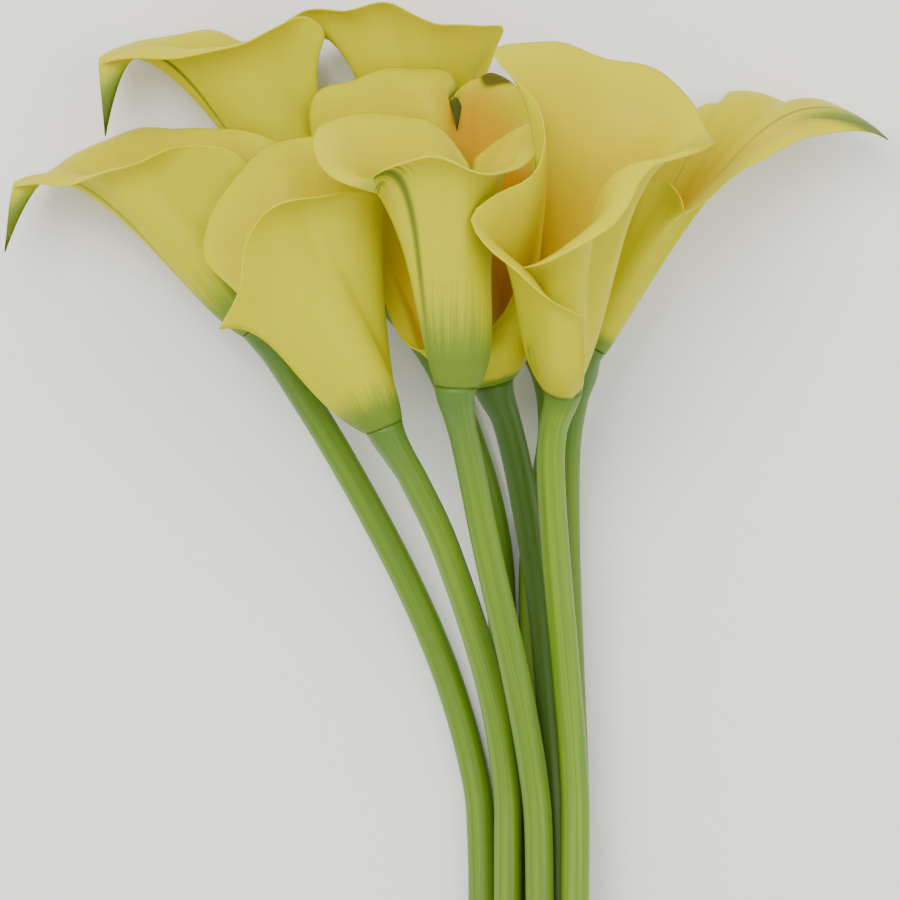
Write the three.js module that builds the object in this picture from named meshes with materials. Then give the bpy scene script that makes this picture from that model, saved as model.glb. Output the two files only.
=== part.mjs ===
// A bunch of eight yellow calla lilies lying on its side.
// Every flower is a rolled spathe, the spadix inside it and its own stem.
// Millimetres, +Z up; the stems run along Y with the blooms at the +Y end.
import * as THREE from 'three';

// The drawing grid: across to the right, down towards the cut stems
const gridStep = 0.4;
const gridMiddle = 450;
const gridFoot = 900;

// Sizes shared by all flowers
const spatheThickness = 0.8;
const rimThickness = 0.62;
const neckRadius = 7.4;
const spiralStep = 1.7;
const stemRadius = 5.75;
const neckClearance = 2.2;
const stemEntry = 4;
const shoulderDrop = 0.8;
const shoulderSpread = 0.4;
const flareLength = 24;
const stemSides = 10;
const flareSegments = 4;
const stemSegments = 18;
const spadixLength = 42;
const spadixRadius = 3.6;
const seatGap = 0.3;
const columns = 26;
const rows = 13;
const columnCrowding = 0.55;
const crowdingPower = 1.8;
const rimSamplesTaken = 800;
const stemSamplesTaken = 400;
const knotPower = 0.7;

// How a spathe's sheet runs from its neck to its rim and out into the tip
const leastTurn = 0.35;
const arrivalReach = 0.33;
const usualTipSharpness = 2.5;
const usualHookStart = 0.72;
const hookPower = 1.7;

const palette = {
  spathe: { color: 0xf3dc1e, roughness: 0.5 },
  spadix: { color: 0xe8a915, roughness: 0.75 },
  stem: { color: 0x6f9440, roughness: 0.55 },
};

// Rim points are grid column, grid row, height in mm and roll-back in degrees, and
// a fifth number, if any, makes the tube bulge more or less below that point.
// They run from the covered edge of the spathe round its tip to the lapping edge.
const flowers = [
  {
    name: 'front_middle',
    base: [456, 386, 92], mouth: [463, 170, 103], neck: 8.2, rise: 0.22, swell: 0.145, lap: 14,
    covered: [
      [470, 168, 73, 35], [450, 140, 70, 60], [425, 121, 68, 75], [380, 116, 71, 80],
      [335, 121, 82, 85, 0.8], [315, 143, 98, 95, 0.5], [328, 178, 118, 110, 0.5],
    ],
    tipRoot: [358, 190, 128, 120, 1], tip: [380, 200, 134], tipWidth: 12,
    lapping: [
      [392, 176, 136, 115], [430, 164, 138, 100], [470, 178, 132, 100], [510, 177, 113, 95],
      [539, 151, 90, 90], [529, 126, 80, 80], [500, 141, 76, 60], [474, 160, 71, 40],
    ],
    stem: [
      [460, 420, 86], [469, 460, 78], [487, 549, 60], [517, 682, 39], [535, 784, 28], [540, 850, 26.6],
      [541, 1070, 26.6],
    ],
  },
  {
    name: 'front_left',
    base: [384, 425, 78], mouth: [305, 222, 88], rise: 0.24, swell: 0.175, lap: 14,
    covered: [
      [262, 316, 78, 35], [234, 290, 70, 60], [204, 256, 64, 70], [212, 214, 61, 75],
      [246, 164, 59, 75], [290, 138, 58, 70], [345, 140, 60, 55, 0.5],
    ],
    tipRoot: [385, 158, 68, 35, 0.3], tip: [398, 150, 76], tipWidth: 14,
    lapping: [
      [380, 190, 84, 40, 0.2], [345, 196, 100, 90, 0.7], [300, 204, 108, 100], [268, 218, 112, 100],
      [250, 244, 111, 95], [242, 292, 105, 90], [222, 331, 96, 80, 1.2],
    ],
    stem: [
      [398, 453, 74], [414, 480, 67], [446, 549, 51], [489, 682, 27], [507, 784, 18.4], [509, 850, 18],
      [508, 1080, 18],
    ],
  },
  {
    name: 'front_right',
    base: [563, 388, 66], mouth: [583, 190, 112], rise: 0.22, swell: 0.2, lap: 12,
    covered: [
      [512, 272, 110, 60], [532, 270, 122, 100], [558, 260, 128, 115, 0.9], [585, 247, 130, 120, 0.7],
      [608, 231, 128, 118, 0.5], [625, 210, 126, 115, 0.3], [636, 188, 122, 110, 0.2],
      [652, 170, 116, 105, 0.1], [680, 162, 106, 105, 0.1],
    ],
    tipRoot: [703, 148, 98, 105, 0.3], tip: [712, 147, 98], tipWidth: 14,
    lapping: [
      [691, 108, 86, 85], [659, 74, 80, 75], [607, 61, 78, 70], [550, 45, 84, 75],
      [493, 56, 98, 80], [514, 84, 106, 60], [536, 112, 110, 30], [544, 146, 111, 8],
      [529, 181, 109, 4, 0.9], [495, 199, 111, 24, 0.8], [470, 221, 115, 55, 0.7], [485, 249, 119, 76, 0.7],
      [512, 273, 121, 80, 0.9], [548, 303, 119, 60, 1.2], [583, 320, 110, 40],
    ],
    stem: [
      [553, 430, 57], [551, 470, 51], [556, 549, 42], [568, 682, 32], [576, 784, 27.8], [577, 850, 27.4],
      [575, 1060, 27.4],
    ],
  },
  {
    name: 'left',
    base: [256, 326, 48], mouth: [154, 190, 44], neck: 6.6, rise: 0.24, swell: 0.12, lap: 10,
    covered: [
      [262, 180, 49, 30], [286, 150, 47, 50], [244, 129, 42, 60], [184, 125, 22, 75],
      [141, 123, 9, 80], [92, 136, 2, 80], [42, 166, 8, 80],
    ],
    tipRoot: [7, 182, 32, 80], tip: [2, 251, 42], tipWidth: 9, tipSharpness: 4.5, hookStart: 0.84,
    lapping: [
      [36, 184, 50, 100], [72, 184, 61, 105], [129, 166, 66, 100], [184, 146, 59, 90],
      [226, 148, 56, 70], [254, 168, 53, 40],
    ],
    stem: [
      [281, 362, 42], [341, 460, 29], [405, 580, 16], [448, 682, 9], [476, 784, 6],
      [482, 850, 5.75], [483, 955, 5.75], [483, 1060, 5.75],
    ],
  },
  {
    name: 'right',
    base: [590, 346, 46], mouth: [666, 200, 44], neck: 6.8, rise: 0.24, swell: 0.04, lap: 10,
    covered: [
      [626, 196, 38, 30], [652, 145, 26, 50], [706, 101, 12, 60], [725, 95, 8, 65], [734, 85, 5, 70],
      [765, 87, 2, 75], [800, 96, 1, 80], [836, 98, 12, 85],
    ],
    tipRoot: [862, 112, 34, 85], tip: [891, 138, 42], tipWidth: 24,
    lapping: [
      [843, 127, 45, 80], [800, 140, 52, 70], [760, 160, 56, 60], [725, 184, 60, 60], [698, 206, 64, 70],
      [684, 214, 67, 90], [679, 198, 70, 100], [664, 180, 70, 90], [640, 184, 62, 60], [622, 205, 52, 40],
    ],
    stem: [
      [584, 372, 41], [575, 400, 35], [568, 450, 27], [568, 549, 16], [573, 682, 8], [577, 784, 6],
      [576, 850, 5.75], [576, 970, 5.75], [576, 1085, 5.75],
    ],
  },
  {
    name: 'back_left',
    base: [335, 236, 17], mouth: [240, 85, 32], rise: 0.24, swell: 0.14, lap: 10,
    covered: [
      [309, 80, 20, 30], [311, 54, 14, 50], [298, 40, 9, 60], [270, 44, 3, 70], [238, 34, 1, 75],
      [201, 22, 1, 80], [150, 31, 3, 80], [106, 43, 14, 85],
    ],
    tipRoot: [95, 59, 28, 90], tip: [103, 134, 40], tipWidth: 9, tipSharpness: 5, hookStart: 0.84,
    lapping: [
      [114, 57, 42, 100], [160, 58, 54, 105], [205, 54, 60, 105], [240, 44, 60, 100],
      [275, 28, 55, 90], [304, 14, 46, 80], [324, 31, 40, 60], [307, 70, 32, 40],
    ],
    stem: [
      [382, 290, 13], [430, 350, 9], [456, 402, 7.5], [474, 450, 6.6], [488, 495, 6.1], [500, 560, 5.75],
      [505, 682, 5.75], [514, 784, 5.75], [514, 930, 5.75], [514, 1075, 5.75],
    ],
  },
  {
    name: 'back_middle',
    base: [430, 205, 20], mouth: [402, 50, 31], rise: 0.26, swell: 0.14, lap: 10,
    covered: [
      [478, 100, 18, 30], [470, 72, 12, 50], [440, 50, 5, 60], [390, 40, 1, 65],
      [345, 34, 5, 70], [312, 28, 17, 75],
    ],
    tipRoot: [289, 17, 34, 80], tip: [278, 25, 42], tipWidth: 10,
    lapping: [
      [304, 9, 44, 85], [342, 9, 53, 80], [384, 3, 58, 75], [415, 14, 59, 75],
      [440, 24, 57, 75], [475, 24, 50, 70], [503, 24, 43, 70], [497, 44, 34, 60], [484, 76, 27, 45],
    ],
    stem: [
      [462, 262, 15], [512, 314, 11], [546, 370, 8], [554, 425, 6.6], [547, 480, 6.1], [535, 560, 5.75],
      [537, 682, 5.75], [545, 784, 5.75], [545, 920, 5.75], [545, 1060, 5.75],
    ],
  },
  {
    name: 'middle',
    base: [493, 382, 52], mouth: [440, 150, 66], neck: 8, rise: 0.24, swell: 0.3, lap: 14,
    covered: [
      [440, 352, 68, 40], [412, 348, 66, 50], [394, 325, 60, 55], [378, 285, 52, 60], [350, 225, 41, 60],
      [316, 155, 36, 65], [308, 114, 36, 70], [318, 88, 37, 75], [350, 78, 41, 80], [390, 67, 46, 85],
      [438, 68, 48, 90],
    ],
    tipRoot: [461, 79, 48, 90], tip: [457, 132, 60], tipWidth: 7, tipSharpness: 4, hookStart: 0.84,
    lapping: [
      [475, 77, 45, 85], [492, 70, 42, 80], [516, 84, 39, 75], [536, 112, 39, 72], [548, 160, 44, 70],
      [534, 240, 54, 60], [512, 300, 64, 50], [482, 336, 70, 50], [446, 350, 74, 45],
    ],
    stem: [
      [506, 418, 44], [519, 470, 34], [532, 540, 25], [542, 600, 20], [550, 682, 17.5], [558, 784, 16.8],
      [560, 850, 16.8], [560, 1065, 16.8],
    ],
  },
];

const clamp = (value, low, high) => Math.min(high, Math.max(low, value));
const mix = (a, b, t) => a + (b - a) * t;

function place([across, down, height]) {
  return new THREE.Vector3((across - gridMiddle) * gridStep, (gridFoot - down) * gridStep, height);
}

// A smooth curve through points given as a position and any more values.
// It comes back as closely spaced samples with the length run so far.
function smoothCurve(points, samples) {
  const knots = [0];
  for (let i = 1; i < points.length; i += 1) {
    knots.push(knots[i - 1] + points[i].at.distanceTo(points[i - 1].at) ** knotPower);
  }
  const slope = (i) => {
    const before = Math.max(i - 1, 0);
    const after = Math.min(i + 1, points.length - 1);
    const span = knots[after] - knots[before];
    return {
      at: points[after].at.clone().sub(points[before].at).divideScalar(span),
      values: points[after].values.map((value, n) => (value - points[before].values[n]) / span),
    };
  };
  const slopes = points.map((point, i) => slope(i));
  const spots = [...knots];
  for (let k = 0; k <= samples; k += 1) {
    spots.push((knots[knots.length - 1] * k) / samples);
  }
  spots.sort((a, b) => a - b);
  const curve = [];
  for (const spot of spots) {
    let i = 0;
    while (i < points.length - 2 && spot >= knots[i + 1]) {
      i += 1;
    }
    const span = knots[i + 1] - knots[i];
    const t = (spot - knots[i]) / span;
    const rise = 3 * t * t - 2 * t ** 3;
    const weights = [1 - rise, t ** 3 - 2 * t * t + t, rise, t ** 3 - t * t];
    const at = points[i].at.clone().multiplyScalar(weights[0]);
    at.addScaledVector(slopes[i].at, weights[1] * span);
    at.addScaledVector(points[i + 1].at, weights[2]);
    at.addScaledVector(slopes[i + 1].at, weights[3] * span);
    const values = points[i].values.map((value, n) => weights[0] * value
      + weights[1] * span * slopes[i].values[n] + weights[2] * points[i + 1].values[n]
      + weights[3] * span * slopes[i + 1].values[n]);
    const last = curve[curve.length - 1];
    const run = last ? last.run + at.distanceTo(last.at) : 0;
    curve.push({ spot, at, values, run });
  }
  return { curve, knots };
}

// The sample of a curve at a given length along it
function sampleAt(curve, run) {
  let i = 1;
  while (i < curve.length - 1 && curve[i].run < run) {
    i += 1;
  }
  const before = curve[i - 1];
  const after = curve[i];
  const t = after.run > before.run ? clamp((run - before.run) / (after.run - before.run), 0, 1) : 0;
  const values = before.values.map((value, n) => mix(value, after.values[n], t));
  return { at: before.at.clone().lerp(after.at, t), values, run };
}

// Rim samples, closer together near the tip; offset is the length away from the tip
function rimSamples(flower) {
  const listed = [...flower.covered, flower.tipRoot, ...flower.lapping];
  const points = listed.map((entry) => ({ at: place(entry), values: [entry[3], entry[4] ?? 1] }));
  const { curve, knots } = smoothCurve(points, rimSamplesTaken);
  const rootSpot = knots[flower.covered.length];
  const rootRun = curve.find((sample) => sample.spot >= rootSpot).run;
  const total = curve[curve.length - 1].run;
  const half = columns / 2;
  const spread = (t) => mix(t, t ** crowdingPower, columnCrowding);
  const rim = [];
  for (let j = -half; j <= half; j += 1) {
    const share = spread(Math.abs(j) / half);
    const offset = j < 0 ? -share * rootRun : share * (total - rootRun);
    rim.push({ ...sampleAt(curve, rootRun + offset), offset });
  }
  return rim;
}

// Angles of the rim samples round the axis, evened out on each side of the tip
// and carried on a little at both edges so that the edges lap
function wrapAngles(outward, axis, lap) {
  const half = columns / 2;
  const front = outward[half];
  const side = new THREE.Vector3().crossVectors(axis, front);
  const angles = [];
  for (const spoke of outward) {
    let angle = Math.atan2(spoke.dot(side), spoke.dot(front));
    if (angles.length) {
      const last = angles[angles.length - 1];
      angle += Math.round((last - angle) / (2 * Math.PI)) * 2 * Math.PI;
    }
    angles.push(angle);
  }
  const middle = angles[half];
  const centred = angles.map((angle) => angle - middle);
  const sense = centred[columns] > centred[0] ? 1 : -1;
  const evened = new Array(columns + 1).fill(0);
  for (const way of [-1, 1]) {
    const total = Math.abs(centred[half + way * half]);
    const steps = [];
    for (let k = 1; k <= half; k += 1) {
      const step = sense * way * (centred[half + way * k] - centred[half + way * (k - 1)]);
      steps.push(Math.max(step, (leastTurn * total) / half));
    }
    const sum = steps.reduce((a, b) => a + b, 0);
    const reach = total + THREE.MathUtils.degToRad(lap);
    let run = 0;
    steps.forEach((step, k) => {
      run += step;
      evened[half + way * (k + 1)] = (way * run * reach) / sum;
    });
  }
  return { evened, sense };
}

function flowerAxis(flower) {
  return place(flower.mouth).sub(place(flower.base)).normalize();
}

// The middle surface of a spathe: one curve from the neck to every rim sample
function spatheGrid(flower) {
  const origin = place(flower.base);
  const axis = flowerAxis(flower);
  const rim = rimSamples(flower);
  const outward = rim.map((sample) => {
    const spoke = sample.at.clone().sub(origin);
    return spoke.addScaledVector(axis, -spoke.dot(axis)).normalize();
  });
  const { evened, sense } = wrapAngles(outward, axis, flower.lap);
  const front = outward[columns / 2];
  const side = new THREE.Vector3().crossVectors(axis, front);
  const neck = flower.neck ?? neckRadius;
  const starts = evened.map((turn) => {
    const spoke = front.clone().multiplyScalar(Math.cos(turn)).addScaledVector(side, sense * Math.sin(turn));
    const radius = neck + (spiralStep * turn) / (2 * Math.PI);
    return { spoke, at: origin.clone().addScaledVector(spoke, radius) };
  });
  const lengths = rim.map((sample, j) => sample.at.distanceTo(starts[j].at));
  const meanLength = lengths.reduce((a, b) => a + b, 0) / lengths.length;
  const reach = place(flower.tip).sub(place(flower.tipRoot));
  const hookStart = flower.hookStart ?? usualHookStart;
  const tipSharpness = flower.tipSharpness ?? usualTipSharpness;
  const grid = [];
  rim.forEach((sample, j) => {
    const [rollBack, bulge] = sample.values;
    const roll = THREE.MathUtils.degToRad(rollBack);
    const arrival = axis.clone().multiplyScalar(Math.cos(roll)).addScaledVector(outward[j], Math.sin(roll));
    const lower = starts[j].at.clone().addScaledVector(axis, flower.rise * meanLength);
    lower.addScaledVector(starts[j].spoke, flower.swell * bulge * meanLength);
    const upper = sample.at.clone().addScaledVector(arrival, -arrivalReach * lengths[j]);
    const curve = new THREE.CubicBezierCurve3(starts[j].at, lower, upper, sample.at);
    const share = clamp(1 - Math.abs(sample.offset) / flower.tipWidth, 0, 1) ** tipSharpness;
    const column = [];
    for (let i = 0; i <= rows; i += 1) {
      const t = i / rows;
      const point = curve.getPoint(t);
      const hook = clamp((t - hookStart) / (1 - hookStart), 0, 1) ** hookPower;
      point.addScaledVector(reach, share * hook);
      column.push(point);
    }
    grid.push(column);
  });
  return grid;
}

function gridNormal(grid, j, i) {
  const alongRim = grid[Math.min(j + 1, columns)][i].clone().sub(grid[Math.max(j - 1, 0)][i]);
  const upward = grid[j][Math.min(i + 1, rows)].clone().sub(grid[j][Math.max(i - 1, 0)]);
  return upward.cross(alongRim).normalize();
}

// A closed sheet round the middle surface, split alike on both faces
function sheetSolid(grid) {
  const faces = [[], []];
  for (let j = 0; j <= columns; j += 1) {
    faces[0].push([]);
    faces[1].push([]);
    for (let i = 0; i <= rows; i += 1) {
      const half = mix(spatheThickness, rimThickness, (i / rows) ** 2) / 2;
      const normal = gridNormal(grid, j, i);
      faces[0][j].push(grid[j][i].clone().addScaledVector(normal, half));
      faces[1][j].push(grid[j][i].clone().addScaledVector(normal, -half));
    }
  }
  const corners = [];
  const triangle = (a, b, c) => corners.push(a, b, c);
  const quad = (a, b, c, d) => {
    triangle(a, b, c);
    triangle(a, c, d);
  };
  const [top, under] = faces;
  for (let j = 0; j < columns; j += 1) {
    for (let i = 0; i < rows; i += 1) {
      quad(top[j][i], top[j][i + 1], top[j + 1][i + 1], top[j + 1][i]);
      triangle(under[j][i], under[j + 1][i + 1], under[j][i + 1]);
      triangle(under[j][i], under[j + 1][i], under[j + 1][i + 1]);
    }
    quad(under[j][0], top[j][0], top[j + 1][0], under[j + 1][0]);
    quad(top[j][rows], under[j][rows], under[j + 1][rows], top[j + 1][rows]);
  }
  for (let i = 0; i < rows; i += 1) {
    quad(under[0][i], under[0][i + 1], top[0][i + 1], top[0][i]);
    quad(top[columns][i], top[columns][i + 1], under[columns][i + 1], under[columns][i]);
  }
  return solidFrom(corners);
}

function solidFrom(corners) {
  const flat = corners.flatMap((corner) => [corner.x, corner.y, corner.z]);
  const geometry = new THREE.BufferGeometry();
  geometry.setAttribute('position', new THREE.Float32BufferAttribute(flat, 3));
  geometry.computeVertexNormals();
  return geometry;
}

// A round rod through rings given as centre, direction and radius, with one flat side down
function rodSolid(rings, sides) {
  const loops = rings.map(({ centre, along, radius }) => {
    const across = new THREE.Vector3().crossVectors(along, new THREE.Vector3(0, 0, 1)).normalize();
    const up = new THREE.Vector3().crossVectors(along, across);
    const loop = [];
    for (let k = 0; k < sides; k += 1) {
      const angle = ((k + 0.5) / sides) * 2 * Math.PI - Math.PI / 2;
      const corner = centre.clone().addScaledVector(across, Math.cos(angle) * radius);
      loop.push(corner.addScaledVector(up, Math.sin(angle) * radius));
    }
    return loop;
  });
  const corners = [];
  for (let i = 0; i < loops.length - 1; i += 1) {
    for (let k = 0; k < sides; k += 1) {
      const next = (k + 1) % sides;
      corners.push(loops[i][k], loops[i][next], loops[i + 1][next]);
      corners.push(loops[i][k], loops[i + 1][next], loops[i + 1][k]);
    }
  }
  const first = rings[0].centre;
  const last = rings[rings.length - 1].centre;
  for (let k = 0; k < sides; k += 1) {
    const next = (k + 1) % sides;
    corners.push(first, loops[0][next], loops[0][k]);
    corners.push(last, loops[loops.length - 1][k], loops[loops.length - 1][next]);
  }
  return solidFrom(corners);
}

// The stem enters the neck along the flower's axis, has a shoulder under it that
// narrows downwards, and ends in a square cut. It never dips below zero height.
function stemSolid(flower) {
  const axis = flowerAxis(flower);
  const neck = flower.neck ?? neckRadius;
  const top = place(flower.base).addScaledVector(axis, stemEntry);
  const below = place(flower.base).addScaledVector(axis, -stemEntry);
  const listed = [top, below, ...flower.stem.map(place)].map((at) => ({ at, values: [] }));
  const { curve } = smoothCurve(listed, stemSamplesTaken);
  const total = curve[curve.length - 1].run;
  const shoulder = stemEntry + shoulderDrop;
  const spots = [
    { run: 0, radius: neck - neckClearance },
    { run: shoulder, radius: neck - neckClearance },
  ];
  for (let k = 0; k <= flareSegments; k += 1) {
    const share = k / flareSegments;
    const radius = mix(neck + shoulderSpread, stemRadius, share * (2 - share));
    spots.push({ run: shoulder + 0.1 + share * flareLength, radius });
  }
  const flareEnd = spots[spots.length - 1].run;
  for (let k = 1; k <= stemSegments; k += 1) {
    spots.push({ run: mix(flareEnd, total, k / stemSegments), radius: stemRadius });
  }
  const rings = spots.map(({ run, radius }) => {
    const centre = sampleAt(curve, run).at;
    centre.z = Math.max(centre.z, radius);
    const ahead = sampleAt(curve, Math.min(run + 1, total)).at;
    const behind = sampleAt(curve, Math.max(run - 1, 0)).at;
    const along = run > shoulder + 1 ? ahead.sub(behind).normalize() : axis.clone().negate();
    return { centre, along, radius: radius / Math.cos(Math.PI / stemSides) };
  });
  return rodSolid(rings, stemSides);
}

// A blunt tapered rod standing on the stem's end
function spadixSolid(flower) {
  const axis = flowerAxis(flower);
  const foot = place(flower.base).addScaledVector(axis, stemEntry + seatGap);
  const profile = [[0, 0.82], [0.12, 1], [0.45, 0.96], [0.75, 0.8], [0.92, 0.56], [1, 0.2]];
  const rings = profile.map(([share, width]) => ({
    centre: foot.clone().addScaledVector(axis, share * spadixLength),
    along: axis,
    radius: width * spadixRadius,
  }));
  return rodSolid(rings, stemSides);
}

function piece(name, geometry, look) {
  const mesh = new THREE.Mesh(geometry, new THREE.MeshStandardMaterial({ ...look, metalness: 0 }));
  mesh.name = name;
  return mesh;
}

const bunch = new THREE.Group();
bunch.name = 'calla_lily_bunch';
for (const flower of flowers) {
  bunch.add(piece(`spathe_${flower.name}`, sheetSolid(spatheGrid(flower)), palette.spathe));
  bunch.add(piece(`spadix_${flower.name}`, spadixSolid(flower), palette.spadix));
  bunch.add(piece(`stem_${flower.name}`, stemSolid(flower), palette.stem));
}

// Stand the whole bunch on zero height, centred over the origin
const box = new THREE.Box3().setFromObject(bunch);
const middle = box.getCenter(new THREE.Vector3());
for (const mesh of bunch.children) {
  mesh.geometry.translate(-middle.x, -middle.y, -box.min.z);
}

export default bunch;
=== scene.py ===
import math
from functools import partial
import bpy
import numpy as np
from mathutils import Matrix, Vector


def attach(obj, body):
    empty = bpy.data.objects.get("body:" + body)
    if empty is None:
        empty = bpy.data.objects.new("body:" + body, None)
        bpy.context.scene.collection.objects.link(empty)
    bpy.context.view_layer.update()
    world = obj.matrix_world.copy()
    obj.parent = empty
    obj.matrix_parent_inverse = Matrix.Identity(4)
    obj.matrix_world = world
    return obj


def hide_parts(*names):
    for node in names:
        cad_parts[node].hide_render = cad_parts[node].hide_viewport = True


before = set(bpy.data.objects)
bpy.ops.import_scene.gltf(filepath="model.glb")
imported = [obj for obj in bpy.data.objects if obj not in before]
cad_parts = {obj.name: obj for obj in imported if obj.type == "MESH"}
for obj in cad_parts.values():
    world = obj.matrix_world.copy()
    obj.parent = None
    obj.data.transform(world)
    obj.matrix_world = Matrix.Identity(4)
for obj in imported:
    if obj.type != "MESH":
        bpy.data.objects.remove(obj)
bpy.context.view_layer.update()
print("frame loaded")

# the drawing grid the flowers are laid out on: mm a step, then centred like the CAD part
grid = {"step": 0.4, "middle": 450, "foot": 900, "shift": (1.487, -142.542, 0.0)}
mmPerMetre = 1000


def toLinear(hexColour):
    parts = [int(hexColour[i : i + 2], 16) / 255 for i in (1, 3, 5)]
    return [p / 12.92 if p <= 0.04045 else ((p + 0.055) / 1.055) ** 2.4 for p in parts] + [1]


def place(entry):
    x = (entry[0] - grid["middle"]) * grid["step"]
    y = (grid["foot"] - entry[1]) * grid["step"]
    return np.array([x, y, entry[2]]) + np.array(grid["shift"])


def unit(v):
    return v / np.linalg.norm(v, axis=-1, keepdims=True)


def smoothCurve(points, samples):
    # rows of position and any more values; back come dense samples, length run, spots and knots
    p = np.array(points, float)
    knotPower = 0.7  # 0 would space the knots evenly, 1 by their distance
    knots = np.concatenate([[0], np.cumsum(np.linalg.norm(np.diff(p[:, :3], axis=0), axis=1) ** knotPower)])
    last = len(p) - 1
    before = np.maximum(np.arange(last + 1) - 1, 0)
    after = np.minimum(np.arange(last + 1) + 1, last)
    slopes = (p[after] - p[before]) / (knots[after] - knots[before])[:, None]
    spots = np.sort(np.concatenate([knots, np.linspace(0, knots[-1], samples + 1)]))
    i = np.clip(np.searchsorted(knots, spots, side="right") - 1, 0, last - 1)
    span = (knots[i + 1] - knots[i])[:, None]
    t = ((spots - knots[i])[:, None]) / span
    curve = (
        (2 * t**3 - 3 * t**2 + 1) * p[i]
        + (t**3 - 2 * t**2 + t) * span * slopes[i]
        + (3 * t**2 - 2 * t**3) * p[i + 1]
        + (t**3 - t**2) * span * slopes[i + 1]
    )
    run = np.concatenate([[0], np.cumsum(np.linalg.norm(np.diff(curve[:, :3], axis=0), axis=1))])
    return curve, run, spots, knots


def sampleAt(curve, run, lengths):
    return np.stack([np.interp(lengths, run, curve[:, k]) for k in range(curve.shape[1])], axis=1)


def addMesh(name, vertices, faces, smooth, material, attributes):
    # vertices in mm
    mesh = bpy.data.meshes.new(name)
    mesh.from_pydata((vertices / mmPerMetre).tolist(), [], faces)
    mesh.polygons.foreach_set("use_smooth", smooth)
    for key, values in attributes.items():
        layer = mesh.attributes.new(key, "FLOAT", "POINT")
        layer.data.foreach_set("value", np.asarray(values, np.float32))
    mesh.materials.append(material)
    mesh.update()
    made = bpy.data.objects.new(name, mesh)
    bpy.context.scene.collection.objects.link(made)
    return made


def addNode(tree, kind, values, output=0):
    # values: a property, input name or input number to a setting or to another node's output
    made = tree.nodes.new("ShaderNode" + kind)
    for key, value in values.items():
        if isinstance(key, str) and hasattr(made, key):
            setattr(made, key, value)
        elif isinstance(value, bpy.types.NodeSocket):
            tree.links.new(value, made.inputs[key])
        else:
            made.inputs[key].default_value = value
    return made.outputs[output] if len(made.outputs) else made


def newMaterial(name):
    material = bpy.data.materials.new(name)
    material.use_nodes = True
    material.node_tree.nodes.clear()
    return material, partial(addNode, material.node_tree)


def calc(node, operation, *terms, clamp=False):
    return node("Math", {"operation": operation, "use_clamp": clamp, **dict(enumerate(terms))})


def product(node, made, *factors):
    for factor in factors:
        made = calc(node, "MULTIPLY", made, factor)
    return made


def ramp(node, value, span, high=1.0):
    # smoothly from 0 where the span starts to high where it ends
    settings = {"interpolation_type": "SMOOTHSTEP", 0: value, 1: span[0], 2: span[1], 3: 0.0, 4: high}
    return node("MapRange", settings)


def mixed(node, share, under, over):
    under, over = (toLinear(each) if isinstance(each, str) else each for each in (under, over))
    return node("Mix", {"data_type": "RGBA", 0: share, 6: under, 7: over}, 2)


def grain(node, at, scale, detail=2.0, roughness=0.5):
    stretched = node("VectorMath", {"operation": "MULTIPLY", 0: at, 1: scale})
    return node("TexNoise", {"Vector": stretched, "Scale": 1.0, "Detail": detail, "Roughness": roughness})


def fields(node, names, kind="GEOMETRY"):
    return [node("Attribute", {"attribute_type": kind, "attribute_name": name}, "Fac") for name in names]


def surface(node, colour, look, height=None):
    sockets = {
        "roughness": "Roughness", "ior": "IOR", "specular": "Specular IOR Level",
        "scatter": "Subsurface Weight", "scatterRadius": "Subsurface Radius",
    }
    values = {socket: look[key] for key, socket in sockets.items() if key in look}
    values |= {"Base Color": colour, "Subsurface Scale": 1.0}
    if height is not None:
        strength, depth = look["bump"]
        values["Normal"] = node("Bump", {"Strength": strength, "Distance": depth, "Height": height})
    node("OutputMaterial", {"Surface": node("BsdfPrincipled", values)})


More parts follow.
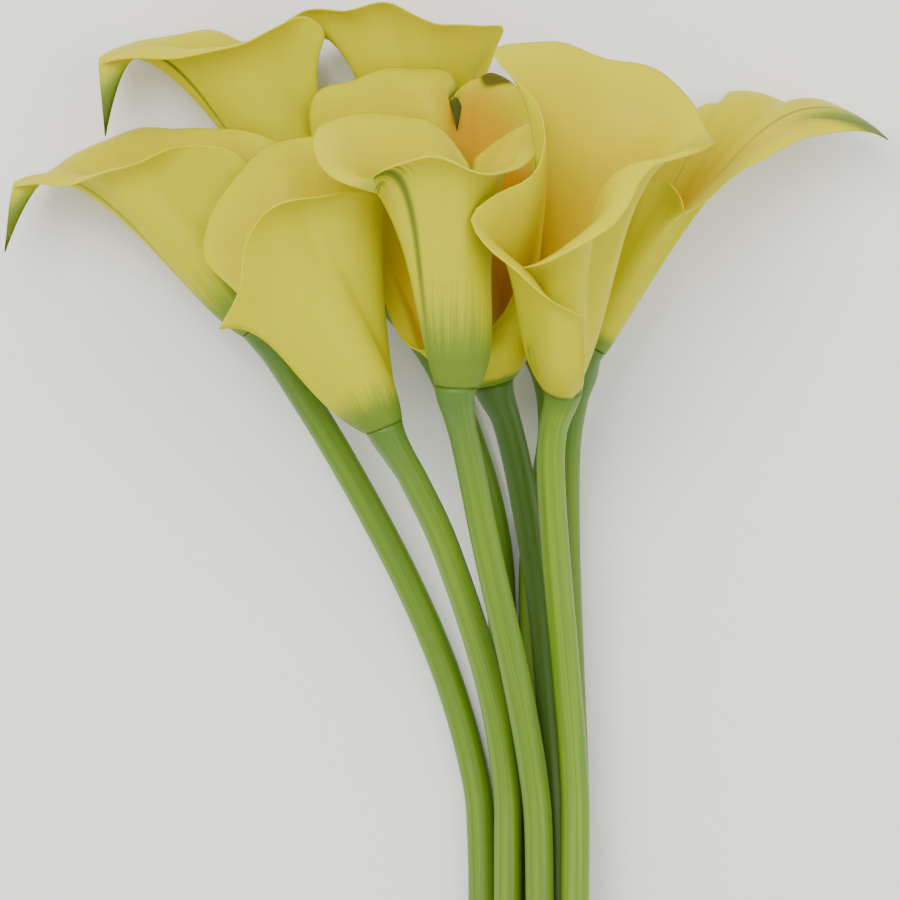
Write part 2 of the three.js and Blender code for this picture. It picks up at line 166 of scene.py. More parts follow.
# Rim points are grid column, grid row, height in mm, roll-back in degrees and, if given,
# how much the tube bulges below. They run from the covered edge round the tip to the
# lapping edge. A look says what differs from the usual one: the stripe is the midrib's
# green line; the stem value is a paler tint above zero and painted shade below zero;
# the amber and rim patch amounts are painted shade.
usualLook = {
    "stripe": 0.4, "stripeWidth": 1.4, "stripeShift": 0, "stripeFoot": 0.5, "stripeInside": 0.0,
    "streaks": 0.0, "neckGreen": 0.2, "tipGreen": 1.0, "amber": 0.05, "mark": 0.0, "markAt": 0, "pale": 0.0,
}
flowers = {
    "front_middle": {
        "base": (456, 386, 92), "mouth": (463, 170, 103), "neck": 8.2, "rise": 0.22, "swell": 0.145,
        "lap": 14,
        "covered": [
            (470, 168, 73, 35), (450, 140, 70, 60), (425, 121, 68, 75), (380, 116, 71, 80),
            (335, 121, 82, 85, 0.8), (315, 143, 98, 95, 0.5), (328, 178, 118, 110, 0.5),
        ],
        "tipRoot": (358, 190, 128, 120, 1), "tip": (380, 200, 134), "tipWidth": 12,
        "lapping": [
            (392, 176, 136, 115), (430, 164, 138, 100), (470, 178, 132, 100), (510, 177, 113, 95),
            (539, 151, 90, 90), (529, 126, 80, 80), (500, 141, 76, 60), (474, 160, 71, 40),
        ],
        "stem": [
            (460, 420, 86), (469, 460, 78), (487, 549, 60), (517, 682, 39), (535, 784, 28),
            (540, 850, 26.6), (541, 1070, 26.6),
        ],
        "look": {
            "stripe": 1.0, "stripeWidth": 2.6, "stripeShift": 9, "stripeFoot": -0.6, "streaks": 1.0,
            "neckGreen": 0.4, "tipGreen": 0.35, "amber": 0.1, "pale": 0.35,
        },
    },
    "front_left": {
        "base": (384, 425, 78), "mouth": (305, 222, 88), "rise": 0.24, "swell": 0.175, "lap": 14,
        "covered": [
            (262, 316, 78, 35), (234, 290, 70, 60), (204, 256, 64, 70), (212, 214, 61, 75),
            (246, 164, 59, 75), (290, 138, 58, 70), (345, 140, 60, 55, 0.5),
        ],
        "tipRoot": (385, 158, 68, 35, 0.3), "tip": (398, 150, 76), "tipWidth": 14,
        "lapping": [
            (380, 190, 84, 40, 0.2), (345, 196, 100, 90, 0.7), (300, 204, 108, 100),
            (268, 218, 112, 100), (250, 244, 111, 95), (242, 292, 105, 90), (222, 331, 96, 80, 1.2),
        ],
        "stem": [
            (398, 453, 74), (414, 480, 67), (446, 549, 51), (489, 682, 27), (507, 784, 18.4),
            (509, 850, 18), (508, 1080, 18),
        ],
        "look": {
            "stripe": 0.5, "stripeWidth": 1.6, "stripeFoot": 0.4, "tipGreen": 0.6, "pale": 0.45,
        },
    },
    "front_right": {
        "base": (563, 388, 66), "mouth": (583, 190, 112), "rise": 0.22, "swell": 0.2, "lap": 12,
        "covered": [
            (512, 272, 110, 60), (532, 270, 122, 100), (558, 260, 128, 115, 0.9),
            (585, 247, 130, 120, 0.7), (608, 231, 128, 118, 0.5), (625, 210, 126, 115, 0.3),
            (636, 188, 122, 110, 0.2), (652, 170, 116, 105, 0.1), (680, 162, 106, 105, 0.1),
        ],
        "tipRoot": (703, 148, 98, 105, 0.3), "tip": (712, 147, 98), "tipWidth": 14,
        "lapping": [
            (691, 108, 86, 85), (659, 74, 80, 75), (607, 61, 78, 70), (550, 45, 84, 75),
            (493, 56, 98, 80), (514, 84, 106, 60), (536, 112, 110, 30), (544, 146, 111, 8),
            (529, 181, 109, 4, 0.9), (495, 199, 111, 24, 0.8), (470, 221, 115, 55, 0.7),
            (485, 249, 119, 76, 0.7), (512, 273, 121, 80, 0.9), (548, 303, 119, 60, 1.2),
            (583, 320, 110, 40),
        ],
        "stem": [
            (553, 430, 57), (551, 470, 51), (556, 549, 42), (568, 682, 32), (576, 784, 27.8),
            (577, 850, 27.4), (575, 1060, 27.4),
        ],
        "look": {"stripe": 0.2, "stripeFoot": 0.6, "neckGreen": 0.04, "tipGreen": 0.2, "pale": 0.8},
    },
    "left": {
        "base": (256, 326, 48), "mouth": (154, 190, 44), "neck": 6.6, "rise": 0.24, "swell": 0.12,
        "lap": 10,
        "covered": [
            (262, 180, 49, 30), (286, 150, 47, 50), (244, 129, 42, 60), (184, 125, 22, 75),
            (141, 123, 9, 80), (92, 136, 2, 80), (42, 166, 8, 80),
        ],
        "tipRoot": (7, 182, 32, 80), "tip": (2, 251, 42), "tipWidth": 9, "tipSharpness": 4.5,
        "hookStart": 0.84,
        "lapping": [
            (36, 184, 50, 100), (72, 184, 61, 105), (129, 166, 66, 100), (184, 146, 59, 90),
            (226, 148, 56, 70), (254, 168, 53, 40),
        ],
        "stem": [
            (281, 362, 42), (341, 460, 29), (405, 580, 16), (448, 682, 9), (476, 784, 6),
            (482, 850, 5.75), (483, 955, 5.75), (483, 1060, 5.75),
        ],
        "look": {
            "stripe": 0.6, "stripeWidth": 1.6, "stripeShift": 11, "stripeFoot": -0.6,
            "neckGreen": 0.32, "pale": 0.25,
        },
    },
    "right": {
        "base": (590, 346, 46), "mouth": (666, 200, 44), "neck": 6.8, "rise": 0.24, "swell": 0.04,
        "lap": 10,
        "covered": [
            (626, 196, 38, 30), (652, 145, 26, 50), (706, 101, 12, 60), (725, 95, 8, 65),
            (734, 85, 5, 70), (765, 87, 2, 75), (800, 96, 1, 80), (836, 98, 12, 85),
        ],
        "tipRoot": (862, 112, 34, 85), "tip": (891, 138, 42), "tipWidth": 24,
        "lapping": [
            (843, 127, 45, 80), (800, 140, 52, 70), (760, 160, 56, 60), (725, 184, 60, 60),
            (698, 206, 64, 70), (684, 214, 67, 90), (679, 198, 70, 100), (664, 180, 70, 90),
            (640, 184, 62, 60), (622, 205, 52, 40),
        ],
        "stem": [
            (584, 372, 41), (575, 400, 35), (568, 450, 27), (568, 549, 16), (573, 682, 8),
            (577, 784, 6), (576, 850, 5.75), (576, 970, 5.75), (576, 1085, 5.75),
        ],
        "look": {
            "stripe": 0.75, "stripeWidth": 1.3, "stripeShift": -9, "stripeFoot": 0.2,
            "stripeInside": 1.0, "neckGreen": 0.11, "tipGreen": 0.9, "amber": 0.12, "pale": 0.15,
        },
    },
    "back_left": {
        "base": (335, 236, 17), "mouth": (240, 85, 32), "rise": 0.24, "swell": 0.14, "lap": 10,
        "covered": [
            (309, 80, 20, 30), (311, 54, 14, 50), (298, 40, 9, 60), (270, 44, 3, 70),
            (238, 34, 1, 75), (201, 22, 1, 80), (150, 31, 3, 80), (106, 43, 14, 85),
        ],
        "tipRoot": (95, 59, 28, 90), "tip": (103, 134, 40), "tipWidth": 9, "tipSharpness": 5,
        "hookStart": 0.84,
        "lapping": [
            (114, 57, 42, 100), (160, 58, 54, 105), (205, 54, 60, 105), (240, 44, 60, 100),
            (275, 28, 55, 90), (304, 14, 46, 80), (324, 31, 40, 60), (307, 70, 32, 40),
        ],
        "stem": [
            (382, 290, 13), (430, 350, 9), (456, 402, 7.5), (474, 450, 6.6), (488, 495, 6.1),
            (500, 560, 5.75), (505, 682, 5.75), (514, 784, 5.75), (514, 930, 5.75),
            (514, 1075, 5.75),
        ],
        "look": {"stripe": 0.9, "stripeWidth": 1.5, "stripeShift": 13, "stripeFoot": -0.6},
    },
    "back_middle": {
        "base": (430, 205, 20), "mouth": (402, 50, 31), "rise": 0.26, "swell": 0.14, "lap": 10,
        "covered": [
            (478, 100, 18, 30), (470, 72, 12, 50), (440, 50, 5, 60), (390, 40, 1, 65),
            (345, 34, 5, 70), (312, 28, 17, 75),
        ],
        "tipRoot": (289, 17, 34, 80), "tip": (278, 25, 42), "tipWidth": 10,
        "lapping": [
            (304, 9, 44, 85), (342, 9, 53, 80), (384, 3, 58, 75), (415, 14, 59, 75),
            (440, 24, 57, 75), (475, 24, 50, 70), (503, 24, 43, 70), (497, 44, 34, 60),
            (484, 76, 27, 45),
        ],
        "stem": [
            (462, 262, 15), (512, 314, 11), (546, 370, 8), (554, 425, 6.6), (547, 480, 6.1),
            (535, 560, 5.75), (537, 682, 5.75), (545, 784, 5.75), (545, 920, 5.75),
            (545, 1060, 5.75),
        ],
        "look": {"amber": 0.1, "pale": 0.2},
    },
    "middle": {
        "base": (493, 382, 52), "mouth": (440, 150, 66), "neck": 8, "rise": 0.24, "swell": 0.3,
        "lap": 14,
        "covered": [
            (440, 352, 68, 40), (412, 348, 66, 50), (394, 325, 60, 55), (378, 285, 52, 60),
            (350, 225, 41, 60), (316, 155, 36, 65), (308, 114, 36, 70), (318, 88, 37, 75),
            (350, 78, 41, 80), (390, 67, 46, 85), (438, 68, 48, 90),
        ],
        "tipRoot": (461, 79, 48, 90), "tip": (457, 132, 60), "tipWidth": 7, "tipSharpness": 4,
        "hookStart": 0.84,
        "lapping": [
            (475, 77, 45, 85), (492, 70, 42, 80), (516, 84, 39, 75), (536, 112, 39, 72),
            (548, 160, 44, 70), (534, 240, 54, 60), (512, 300, 64, 50), (482, 336, 70, 50),
            (446, 350, 74, 45),
        ],
        "stem": [
            (506, 418, 44), (519, 470, 34), (532, 540, 25), (542, 600, 20), (550, 682, 17.5),
            (558, 784, 16.8), (560, 850, 16.8), (560, 1065, 16.8),
        ],
        "look": {"neckGreen": 0.07, "amber": 1.0, "mark": 0.9, "markAt": 17, "pale": -0.7},
    },
}

# Sizes are in mm. A span is where an effect starts and where it is full, a grain is how often
# its noise repeats across and along the sheet, and a share is how much of a colour goes in.
spathe = {
    "columns": 128,
    "rows": 84,
    "rimSteps": 1600,
    "crowding": 0.55,
    "crowdingPower": 1.8,
    "leastTurn": 0.35,
    "neck": 7.4,
    "spiral": 1.7,
    "thickness": 0.8,
    "rimThickness": 0.5,
    "reach": 0.33,
    "hookStart": 0.72,
    "hookPower": 1.7,
    "tipSharpness": 2.5,
    "rimWave": 0.5,
    "rimWaveLength": 31,
    "waveFade": 6,
    "waveRise": 5,
    "lemon": "#BEBB00",
    "golden": "#C4B600",
    # painted shade: the deeper orange down the inside of the throat
    "throatShade": "#DCBC00",
    # painted shade: the amber wash on the inside of a bloom
    "amber": "#CC9800",
    # painted highlight: the lighter lemon towards the rim
    "rim": "#CEC804",
    "green": "#76912A",
    "deepGreen": "#4E6A24",
    "olive": "#70781C",
    "tipOlive": "#4E5C16",
    # painted shade: the dark olive patch on one bloom's rim, also used to darken its tip
    "mark": "#453F12",
    "roughness": 0.46,
    "ior": 1.4,
    "specular": 0.15,
    "scatter": 0.35,
    "scatterRadius": (0.0022, 0.0017, 0.0003),  # in metres, for red, green and blue
    "bump": (0.3, 0.0004),  # strength, and depth in metres
    "patchHeight": 0.7,
    "veinGrain": (90, 0.016, 0),
    "veinDetail": 3.0,
    "veinRoughness": 0.55,
    "veinSpan": (0.42, 0.72),
    "veinShare": 0.22,
    "patchGrain": (9, 0.022, 0),
    "patchGold": 0.35,
    "insideGold": 0.6,
    "goldShift": -0.05,
    "throatShadeSpan": (0.8, 0.3),
    "throatShadeShare": 0.9,
    "amberShadeSpan": (1.0, 0.75),
    "amberShadeSide": (-14.0, 8.0),  # along the rim from the tip, so it keeps to one side
    "rimHighlightSpan": (0.86, 1.0),
    "rimHighlightShare": 0.5,
    "neckFeather": 1.5,
    "neckEven": 0.35,
    "neckFull": 0.3,
    "neckInside": 0.3,
    "neckDeep": 0.4,
    "neckDeepPower": 3.0,
    "stripeTaper": (0.2, 1.0, 0.5, 1.5),  # a span, and the width at its ends
    "stripeBreaks": 0.9,
    "stripeEven": 0.55,
    "stripeDeepPower": 2.0,
    "streakGrain": (150, 0.03, 0),
    "streakDetail": 1.0,
    "streakSpan": (0.5, 0.6),
    "streakNear": (16.0, 4.0),
    "streakHigh": (0.72, 0.95),
    "rimShadeReach": 10.0,
    "rimShadeDepth": 0.09,
    "rimShadeEdge": (0.99, 1.03),
    "tip": (0.05, 0.5, 1.0),  # this and the next two: a span and a share
    "tipDeep": (0.2, 0.75, 0.85),
    # painted shade that darkens the tip
    "tipShade": (0.05, 0.4, 0.9),
}
# the parts of a look that the petal's material reads from its flower
ownKeys = (
    "stripe", "stripeWidth", "stripeFoot", "stripeInside", "streaks", "neckGreen", "tipGreen", "amber",
    "mark", "markAt",
)


def rimSamples(flower):
    listed = [*flower["covered"], flower["tipRoot"], *flower["lapping"]]
    points = [[*place(e), e[3], e[4] if len(e) > 4 else 1] for e in listed]
    curve, run, spots, knots = smoothCurve(points, spathe["rimSteps"])
    rootRun = run[np.searchsorted(spots, knots[len(flower["covered"])])]
    half = spathe["columns"] // 2
    share = np.linspace(0, 1, half + 1)
    share = share + (share ** spathe["crowdingPower"] - share) * spathe["crowding"]
    offset = np.concatenate([-share[::-1] * rootRun, share[1:] * (run[-1] - rootRun)])
    return sampleAt(curve, run, rootRun + offset), offset


def wrapAngles(outward, axis, lap):
    # angles round the axis, evened out on both sides of the tip and lapping at the edges
    columns = spathe["columns"]
    half = columns // 2
    side = np.cross(axis, outward[half])
    angle = np.unwrap(np.arctan2(outward @ side, outward @ outward[half]))
    angle = angle - angle[half]
    sense = 1 if angle[-1] > angle[0] else -1
    evened = np.zeros(columns + 1)
    for way in (-1, 1):
        own = angle[half:] if way == 1 else angle[half::-1]
        total = abs(own[-1])
        steps = np.maximum(sense * way * np.diff(own), spathe["leastTurn"] * total / half)
        reach = np.cumsum(steps) * (total + math.radians(lap)) / steps.sum()
        spots = np.arange(half + 1, columns + 1) if way == 1 else np.arange(half - 1, -1, -1)
        evened[spots] = way * reach
    return evened, sense


def flowerAxis(flower):
    return unit(place(flower["mouth"]) - place(flower["base"]))


def spatheGrid(flower):
    columns, rows = spathe["columns"], spathe["rows"]
    origin, axis = place(flower["base"]), flowerAxis(flower)
    rim, offset = rimSamples(flower)
    spokes = rim[:, :3] - origin
    outward = unit(spokes - (spokes @ axis)[:, None] * axis)
    turn, sense = wrapAngles(outward, axis, flower["lap"])
    front = outward[columns // 2]
    side = np.cross(axis, front)
    spoke = np.cos(turn)[:, None] * front + sense * np.sin(turn)[:, None] * side
    radius = flower.get("neck", spathe["neck"]) + spathe["spiral"] * turn / (2 * math.pi)
    start = origin + spoke * radius[:, None]
    length = np.linalg.norm(rim[:, :3] - start, axis=1)
    mean = length.mean()
    roll = np.radians(rim[:, 3])
    arrival = np.cos(roll)[:, None] * axis + np.sin(roll)[:, None] * outward
    lower = start + axis * flower["rise"] * mean + spoke * (flower["swell"] * rim[:, 4] * mean)[:, None]
    upper = rim[:, :3] - arrival * (spathe["reach"] * length)[:, None]
    t = np.linspace(0, 1, rows + 1)[None, :, None]
    points = (
        (1 - t) ** 3 * start[:, None]
        + 3 * t * (1 - t) ** 2 * lower[:, None]
        + 3 * t**2 * (1 - t) * upper[:, None]
        + t**3 * rim[:, None, :3]
    )
    reach = place(flower["tip"]) - place(flower["tipRoot"])
    sharpness = flower.get("tipSharpness", spathe["tipSharpness"])
    share = np.clip(1 - np.abs(offset) / flower["tipWidth"], 0, 1) ** sharpness
    hookStart = flower.get("hookStart", spathe["hookStart"])
    hook = np.clip((t - hookStart) / (1 - hookStart), 0, 1)
    points = points + share[:, None, None] * hook ** spathe["hookPower"] * reach
    return points, offset, share[:, None] * hook[0, :, 0]


def gridNormals(points):
    return unit(np.cross(np.gradient(points, axis=1), np.gradient(points, axis=0)))


def gridFaces(across, along, first=0, flip=False):
    i, j = np.meshgrid(np.arange(across), np.arange(along), indexing="ij")
    a = first + i * (along + 1) + j
    quads = np.stack([a, a + 1, a + along + 2, a + along + 1], axis=-1).reshape(-1, 4)
    return quads[:, ::-1] if flip else quads


def stripFaces(top, under):
    return np.stack([top[:-1], under[:-1], under[1:], top[1:]], axis=-1)


def lengthAlong(points, axis):
    steps = np.linalg.norm(np.diff(points, axis=axis), axis=2)
    first = np.zeros_like(steps[:1] if axis == 0 else steps[:, :1])
    return np.concatenate([first, np.cumsum(steps, axis=axis)], axis=axis)


def spathePiece(name, flower, material):
    columns, rows = spathe["columns"], spathe["rows"]
    points, offset, tipMask = spatheGrid(flower)
    t = np.linspace(0, 1, rows + 1)
    # a slow wave along the rim, none at the tip and the two edges
    wave = np.sin(offset * 2 * math.pi / spathe["rimWaveLength"] + len(name))
    fade = 1 - np.abs(np.linspace(-1, 1, columns + 1)) ** spathe["waveFade"]
    wave *= spathe["rimWave"] * (1 - tipMask[:, -1]) * fade
    points = points + gridNormals(points) * (wave[:, None] * t ** spathe["waveRise"])[..., None]
    normals = gridNormals(points)
    half = (spathe["thickness"] + (spathe["rimThickness"] - spathe["thickness"]) * t**2) / 2
    shell = normals * half[None, :, None]
    count = (columns + 1) * (rows + 1)
    index = np.arange(count).reshape(columns + 1, rows + 1)
    faces = np.concatenate([
        gridFaces(columns, rows),
        gridFaces(columns, rows, count, True),
        stripFaces(index[:, rows], index[:, rows] + count),
        stripFaces(index[::-1, 0], index[::-1, 0] + count),
        stripFaces(index[0], index[0] + count),
        stripFaces(index[columns, ::-1], index[columns, ::-1] + count),
    ])
    look = {**usualLook, **flower["look"]}
    # length along each row from the column that the green stripe follows
    acrossRun = lengthAlong(points, 0)
    stripeColumn = np.interp(look["stripeShift"], offset, np.arange(columns + 1))
    low = int(min(stripeColumn, columns - 1))
    stripeRun = acrossRun[low] + (stripeColumn - low) * (acrossRun[low + 1] - acrossRun[low])
    axis = flowerAxis(flower)
    away = points[columns // 2, rows // 2] - place(flower["base"])
    away = away - (away @ axis) * axis
    faceOut = 1.0 if normals[columns // 2, rows // 2] @ away > 0 else 0.0
    perPoint = {
        "along": np.repeat(t[None], columns + 1, axis=0),
        "runUp": lengthAlong(points, 1),
        "stripeDistance": acrossRun - stripeRun,
        "rimRun": np.repeat(offset[:, None], rows + 1, axis=1),
        "spread": np.repeat((offset / np.abs(offset).max())[:, None], rows + 1, axis=1),
        "tipMask": tipMask,
    }
    attributes = {key: np.tile(values.ravel(), 2) for key, values in perPoint.items()}
    attributes["outside"] = np.repeat([faceOut, 1 - faceOut], count)
    vertices = np.concatenate([(points + shell).reshape(-1, 3), (points - shell).reshape(-1, 3)])
    made = addMesh(name, vertices, faces.tolist(), np.ones(len(faces), bool), material, attributes)
    for key in ownKeys:
        made[key] = float(look[key])
    return made


def petalMaterial():
    look = spathe
    material, node = newMaterial("calla_petal")
    along, spread, outside, distance, runUp, rimRun, tipMask = fields(
        node, ("along", "spread", "outside", "stripeDistance", "runUp", "rimRun", "tipMask")
    )
    own = dict(zip(ownKeys, fields(node, ownKeys, "OBJECT")))
    inside = calc(node, "SUBTRACT", 1.0, outside)
    # veins and broad patches run up the sheet: fine across, long along
    sheet = node("CombineXYZ", {0: spread, 1: runUp})
    vein = grain(node, sheet, look["veinGrain"], look["veinDetail"], look["veinRoughness"])
    broad = grain(node, sheet, look["patchGrain"])
    # lemon outside, golden inside, and painted shade: a deeper orange down the inside of the throat
    gold = calc(node, "MULTIPLY_ADD", inside, look["insideGold"], look["goldShift"])
    gold = calc(node, "MULTIPLY_ADD", broad, look["patchGold"], gold, clamp=True)
    colour = mixed(node, gold, look["lemon"], look["golden"])
    # painted shade, fullest deep in the throat and gone towards the rim
    throatShadeAmount = product(node, ramp(node, along, look["throatShadeSpan"], look["throatShadeShare"]), inside)
    colour = mixed(node, throatShadeAmount, colour, look["throatShade"])
    # painted shade: amber on the inside, on the lapping side of the tip, fading out at the rim
    amber = product(node, ramp(node, along, look["amberShadeSpan"]), inside, own["amber"])
    amber = product(node, amber, ramp(node, rimRun, look["amberShadeSide"]))
    colour = mixed(node, amber, colour, look["amber"])
    # painted highlight: lighter lemon towards the rim
    edge = ramp(node, along, look["rimHighlightSpan"], look["rimHighlightShare"])
    colour = mixed(node, edge, colour, look["rim"])
    shade = ramp(node, vein, look["veinSpan"], look["veinShare"])
    colour = mixed(node, shade, colour, look["golden"])
    # green neck, feathered upwards in streaks, on the outside most of all
    reach = calc(node, "MULTIPLY_ADD", vein, look["neckFeather"], look["neckEven"])
    reach = product(node, reach, own["neckGreen"])
    neck = ramp(node, along, (reach, product(node, reach, look["neckFull"])))
    neckSide = calc(node, "MULTIPLY_ADD", outside, 1 - look["neckInside"], look["neckInside"])
    neck = product(node, neck, neckSide)
    colour = mixed(node, neck, colour, look["green"])
    neckDeep = product(node, calc(node, "POWER", neck, look["neckDeepPower"]), look["neckDeep"])
    colour = mixed(node, neckDeep, colour, look["deepGreen"])
    # the midrib's green line, wider to the rim and broken up along its length
    away = calc(node, "ABSOLUTE", distance)
    low, high, thin, wide = look["stripeTaper"]
    width = node("MapRange", {0: along, 1: low, 2: high, 3: thin, 4: wide})
    width = product(node, width, own["stripeWidth"])
    climb = ramp(node, along, (own["stripeFoot"], 1.0))
    side = node("Mix", {"data_type": "FLOAT", 0: own["stripeInside"], 2: outside, 3: inside})
    line = product(node, ramp(node, away, (width, 0.0)), climb, product(node, side, own["stripe"]))
    broken = calc(node, "MULTIPLY_ADD", broad, look["stripeBreaks"], look["stripeEven"])
    line = calc(node, "MULTIPLY", line, broken, clamp=True)
    colour = mixed(node, line, colour, look["olive"])
    colour = mixed(node, calc(node, "POWER", line, look["stripeDeepPower"]), colour, look["deepGreen"])
    # short dark streaks down from the rim beside that line
    streak = ramp(node, grain(node, sheet, look["streakGrain"], look["streakDetail"]), look["streakSpan"])
    near, high = ramp(node, away, look["streakNear"]), ramp(node, along, look["streakHigh"])
    streak = product(node, streak, near, high, outside, own["streaks"])
    colour = mixed(node, streak, colour, look["olive"])
    # painted shade: a dark olive patch along one stretch of the rim, deepest in its middle
    rimShadeAway = calc(node, "ABSOLUTE", calc(node, "SUBTRACT", rimRun, own["markAt"]))
    mark = ramp(node, rimShadeAway, (look["rimShadeReach"], 0.0))
    mark = calc(node, "MULTIPLY_ADD", mark, look["rimShadeDepth"], along)
    mark = product(node, ramp(node, mark, look["rimShadeEdge"]), own["mark"])
    colour = mixed(node, mark, colour, look["mark"])
    # the green drooping tip, made nearly black by painted shade on the bloom with the painted rim shade
    for layer, ink, amount in (
        ("tip", "green", "tipGreen"),
        ("tipDeep", "tipOlive", "tipGreen"),
        ("tipShade", "mark", "mark"),
    ):
        start, end, share = look[layer]
        tip = product(node, ramp(node, tipMask, (start, end), share), own[amount])
        colour = mixed(node, tip, colour, look[ink])
    surface(node, colour, look, calc(node, "MULTIPLY_ADD", broad, look["patchHeight"], vein))
    return material


def rodPiece(name, centres, along, ringRadii, material, attributes):
    sides = ringRadii.shape[1]
    across = unit(np.cross(along, np.array([0, 0, 1.0])))
    up = np.cross(along, across)
    angle = np.arange(sides) / sides * 2 * math.pi
    spoke = np.cos(angle)[None, :, None] * across[:, None] + np.sin(angle)[None, :, None] * up[:, None]
    rings = centres[:, None] + spoke * ringRadii[..., None]
    count = len(centres)
    vertices = np.concatenate([rings.reshape(-1, 3), centres[[0]], centres[[-1]]])
    i, k = np.meshgrid(np.arange(count - 1), np.arange(sides), indexing="ij")
    a, b = i * sides + k, i * sides + (k + 1) % sides
    faces = np.stack([a, b, b + sides, a + sides], axis=-1).reshape(-1, 4).tolist()
    smooth = [True] * len(faces) + [False] * (2 * sides)
    lastRing = (count - 1) * sides
    for first in range(sides):
        second = (first + 1) % sides
        faces.append([count * sides, second, first])
    for first in range(sides):
        second = (first + 1) % sides
        faces.append([count * sides + 1, lastRing + first, lastRing + second])
    full = {
        key: np.concatenate([values.ravel(), values[0, :1], values[-1, :1]])
        for key, values in attributes.items()
    }
    full["core"] = np.concatenate([np.ones(count * sides), [0, 0]])
    return addMesh(name, vertices, faces, smooth, material, full)


# sizes in mm; spans, grains and shares as for the spathe
stem = {
    "radius": 5.75,
    "neckClearance": 2.2,
    "entry": 4,
    "shoulderDrop": 0.35,
    "shoulderSpread": 0.4,
    "edgeStep": 0.1,
    "flareLength": 24,
    "curveSteps": 1200,
    "lookAhead": 1,
    "rings": 180,
    "sides": 48,
    "rib": 0.02,
    "coarseRibs": (7, 0.6),  # ribs round the stem, and their share of the depth
    "fineRibs": (13, 0.4),
    "green": "#608212",
    "darkGreen": "#466A12",
    "paleGreen": "#7A9A1A",
    "blueGreen": "#426A2C",
    "deepGreen": "#2C4A10",
    "cut": "#B9C48C",
    "roughness": 0.42,
    "ior": 1.42,
    "scatter": 0.08,
    "scatterRadius": (0.001, 0.0016, 0.0005),  # in metres
    "bump": (0.15, 0.0002),  # strength, and depth in metres
    "streakGrain": (6, 6, 0.008),
    "streakDetail": 3.0,
    "streakSpan": (0.36, 0.72),
    "streakShare": 0.55,
    "patchGrain": (1, 1, 0.012),
    "patchSpan": (0.42, 0.75),
    "patchShare": 0.35,
    "topSpan": (70.0, 5.0),
    "topShare": 0.8,
    "topLoss": 1.2,
    # painted shade just below the neck
    "neckShadeSpan": (16.0, 5.0),
    "neckShadeShare": 0.55,
}


def stemPiece(name, flower, material):
    # inside the neck first, then a shoulder that narrows to the stem's own radius
    axis = flowerAxis(flower)
    neck = flower.get("neck", spathe["neck"])
    base = place(flower["base"])
    points = [base + axis * stem["entry"], base - axis * stem["entry"], *(place(e) for e in flower["stem"])]
    curve, run, spots, knots = smoothCurve(points, stem["curveSteps"])
    shoulder = stem["entry"] + stem["shoulderDrop"]
    edge = shoulder + stem["edgeStep"]
    lengths = np.concatenate([[0, shoulder], np.linspace(edge, run[-1], stem["rings"])])
    share = np.clip((lengths - edge) / stem["flareLength"], 0, 1)
    share = share * (2 - share)
    wide = neck + stem["shoulderSpread"]
    radii = np.where(lengths < edge, neck - stem["neckClearance"], wide + share * (stem["radius"] - wide))
    centres = sampleAt(curve, run, lengths)
    centres[:, 2] = np.maximum(centres[:, 2], radii)
    step = stem["lookAhead"]
    ahead = sampleAt(curve, run, np.minimum(lengths + step, run[-1]))
    behind = sampleAt(curve, run, np.maximum(lengths - step, 0))
    along = np.where((lengths > shoulder + step)[:, None], unit(ahead - behind), -axis)
    angle = np.arange(stem["sides"]) / stem["sides"] * 2 * math.pi
    # faint ribs, cut inwards only
    (coarse, coarseShare), (fine, fineShare) = stem["coarseRibs"], stem["fineRibs"]
    ribs = coarseShare * np.sin(coarse * angle + len(name)) + fineShare * np.sin(fine * angle)
    spread = np.ones((len(lengths), stem["sides"]))
    attributes = {
        "runDown": lengths[:, None] * spread,
        "sideways": np.sin(angle) * spread,
        "upright": np.cos(angle) * spread,
    }
    made = rodPiece(name, centres, along, radii[:, None] + stem["rib"] * (ribs - 1), material, attributes)
    made["pale"] = float({**usualLook, **flower["look"]}["pale"])
    return made


def stemMaterial():
    look = stem
    material, node = newMaterial("calla_stem")
    runDown, sideways, upright, core = fields(node, ("runDown", "sideways", "upright", "core"))
    (pale,) = fields(node, ("pale",), "OBJECT")
    # streaks run down the stem: a few mm across, far longer than wide
    skin = node("CombineXYZ", {0: sideways, 1: upright, 2: runDown})
    streak = grain(node, skin, look["streakGrain"], look["streakDetail"])
    patch = grain(node, skin, look["patchGrain"])
    colour = mixed(node, pale, look["green"], look["paleGreen"])
    # below zero, painted shade darkens the stem towards deep green
    dark = calc(node, "MULTIPLY", pale, -1.0, clamp=True)
    colour = mixed(node, dark, colour, look["deepGreen"])
    share = ramp(node, streak, look["streakSpan"], look["streakShare"])
    colour = mixed(node, share, colour, look["darkGreen"])
    share = ramp(node, patch, look["patchSpan"], look["patchShare"])
    colour = mixed(node, share, colour, look["blueGreen"])
    # bluer under the neck, least of all on the stems that are far from the common green
    even = calc(node, "ABSOLUTE", pale)
    even = calc(node, "MULTIPLY_ADD", even, -look["topLoss"], 1.0, clamp=True)
    share = product(node, ramp(node, runDown, look["topSpan"], look["topShare"]), even)
    colour = mixed(node, share, colour, look["blueGreen"])
    # painted shade: darker where the stem enters the neck
    share = ramp(node, runDown, look["neckShadeSpan"], look["neckShadeShare"])
    colour = mixed(node, share, colour, look["darkGreen"])
    surface(node, mixed(node, core, look["cut"], colour), look, streak)
    return material


# sizes in mm
spadix = {
    "length": 42,
    "radius": 3.6,
    "gap": 0.3,
    "rings": 110,
    "sides": 56,
    "profile": [[0, 0.82], [0.12, 1], [0.45, 0.96], [0.75, 0.8], [0.92, 0.56], [1, 0.12]],
    "floretHeight": 0.22,
    "floretsRound": 14,
    "floretTwist": 160,
    "floretFade": 14,
    "pollen": "#E9A91E",
    "shade": "#B9730E",
    "grooveShadeSpan": (-0.6, 0.5),
    "roughness": 0.85,
    "ior": 1.45,
}


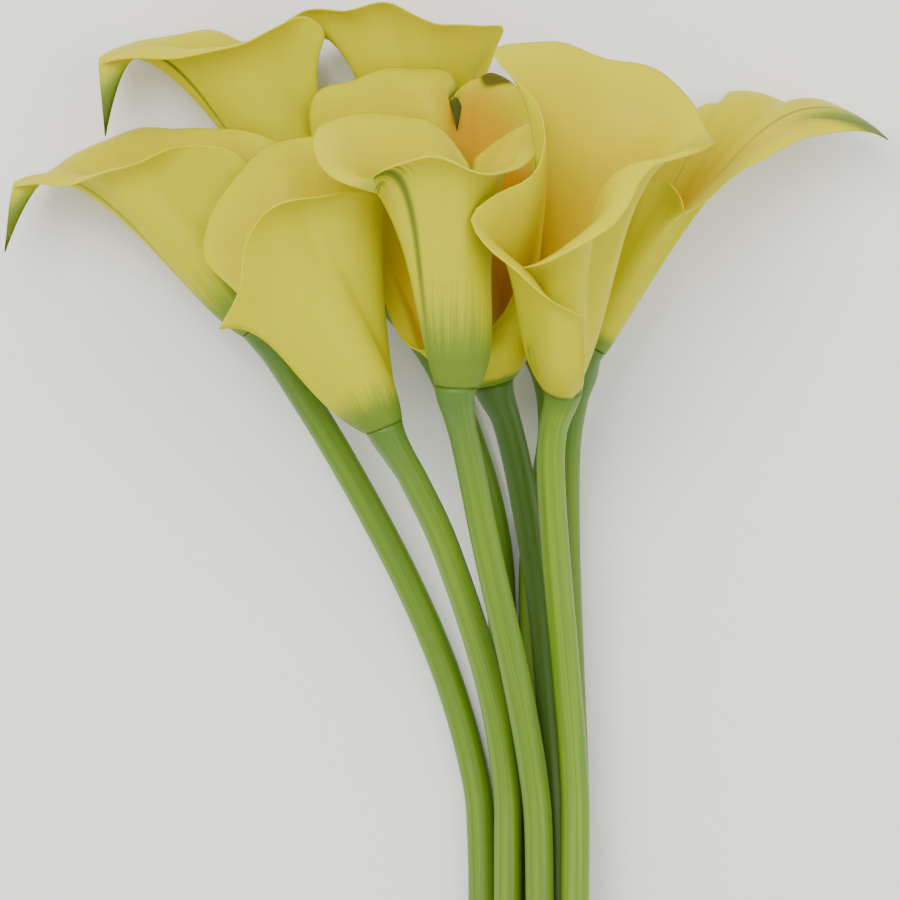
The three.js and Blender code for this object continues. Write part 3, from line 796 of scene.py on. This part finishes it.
def spadixPiece(name, flower, material):
    axis = flowerAxis(flower)
    foot = place(flower["base"]) + axis * (stem["entry"] + spadix["gap"])
    share = np.linspace(0, 1, spadix["rings"] + 1)[:, None]
    width = np.interp(share, *np.array(spadix["profile"]).T)
    centres = foot + share * spadix["length"] * axis
    angle = np.arange(spadix["sides"]) / spadix["sides"] * 2 * math.pi
    # tiny florets in crossing spirals, none at the ends
    around, twist = spadix["floretsRound"] * angle, share * spadix["floretTwist"]
    floret = np.sin(around + twist) * np.sin(around - twist)
    floret = floret * np.clip(np.minimum(share, 1 - share) * spadix["floretFade"], 0, 1)
    radii = width * (spadix["radius"] + spadix["floretHeight"] * floret) - spadix["floretHeight"] / 2
    along = np.repeat(axis[None], len(share), axis=0)
    return rodPiece(name, centres, along, radii, material, {"floret": floret})


def spadixMaterial():
    material, node = newMaterial("calla_spadix")
    (floret,) = fields(node, ("floret",))
    # painted shade: darker in the grooves between the florets
    share = ramp(node, floret, spadix["grooveShadeSpan"])
    surface(node, mixed(node, share, spadix["shade"], spadix["pollen"]), spadix)
    return material


makers = {
    "spathe": (spathePiece, petalMaterial()),
    "spadix": (spadixPiece, spadixMaterial()),
    "stem": (stemPiece, stemMaterial()),
}
print("materials made")

for spot, flower in flowers.items():
    for kind, (maker, material) in makers.items():
        piece = maker(f"{kind}_fine_{spot}", flower, material)
        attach(piece, "root")
        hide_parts(f"{kind}_{spot}")
print("flowers made")

floor = {"paper": "#F7F6F2", "roughness": 0.9, "half": 4.0}  # half its width, in metres


def floorPlane():
    material, node = newMaterial("studio_paper")
    surface(node, toLinear(floor["paper"]), floor)
    half = floor["half"]
    mesh = bpy.data.meshes.new("floor")
    corners = [(-half, -half, 0), (half, -half, 0), (half, half, 0), (-half, half, 0)]
    mesh.from_pydata(corners, [], [(0, 1, 2, 3)])
    mesh.materials.append(material)
    made = bpy.data.objects.new("floor", mesh)
    bpy.context.scene.collection.objects.link(made)


# in metres and watts; air is the strength of the even white light all round
lights = {
    "air": 1.14,
    "key": {"at": (-0.6, 0.8, 2.0), "aim": (0, 0.08, 0.06), "size": 1.2, "watts": 34},
    "fill": {"at": (1.2, 0.2, 1.5), "aim": (0, 0.08, 0.06), "size": 1.3, "watts": 9},
}


def areaLight(name, entry):
    data = bpy.data.lights.new(name, "AREA")
    data.shape = "DISK"
    data.size = entry["size"]
    data.energy = entry["watts"]
    made = bpy.data.objects.new(name, data)
    made.location = entry["at"]
    made.rotation_mode = "QUATERNION"
    made.rotation_quaternion = (Vector(entry["aim"]) - Vector(entry["at"])).to_track_quat("-Z", "Y")
    bpy.context.scene.collection.objects.link(made)


floorPlane()
world = bpy.data.worlds.new("studio_air")
bpy.context.scene.world = world
world.use_nodes = True
world.node_tree.nodes["Background"].inputs["Color"].default_value = (1, 1, 1, 1)
world.node_tree.nodes["Background"].inputs["Strength"].default_value = lights["air"]
areaLight("key_light", lights["key"])
areaLight("fill_light", lights["fill"])

# height and clip in metres, lens and sensor in mm; it looks straight down
camera = {"height": 3.0, "lens": 294, "sensor": 36, "clip": 20, "centreRow": 450}
data = bpy.data.cameras.new("camera")
data.lens = camera["lens"]
data.sensor_width = camera["sensor"]
data.clip_end = camera["clip"]
eye = bpy.data.objects.new("camera", data)
middle = place((grid["middle"], camera["centreRow"], 0)) / mmPerMetre
eye.location = (middle[0], middle[1], camera["height"])
bpy.context.scene.collection.objects.link(eye)
bpy.context.scene.camera = eye
print("stage made")
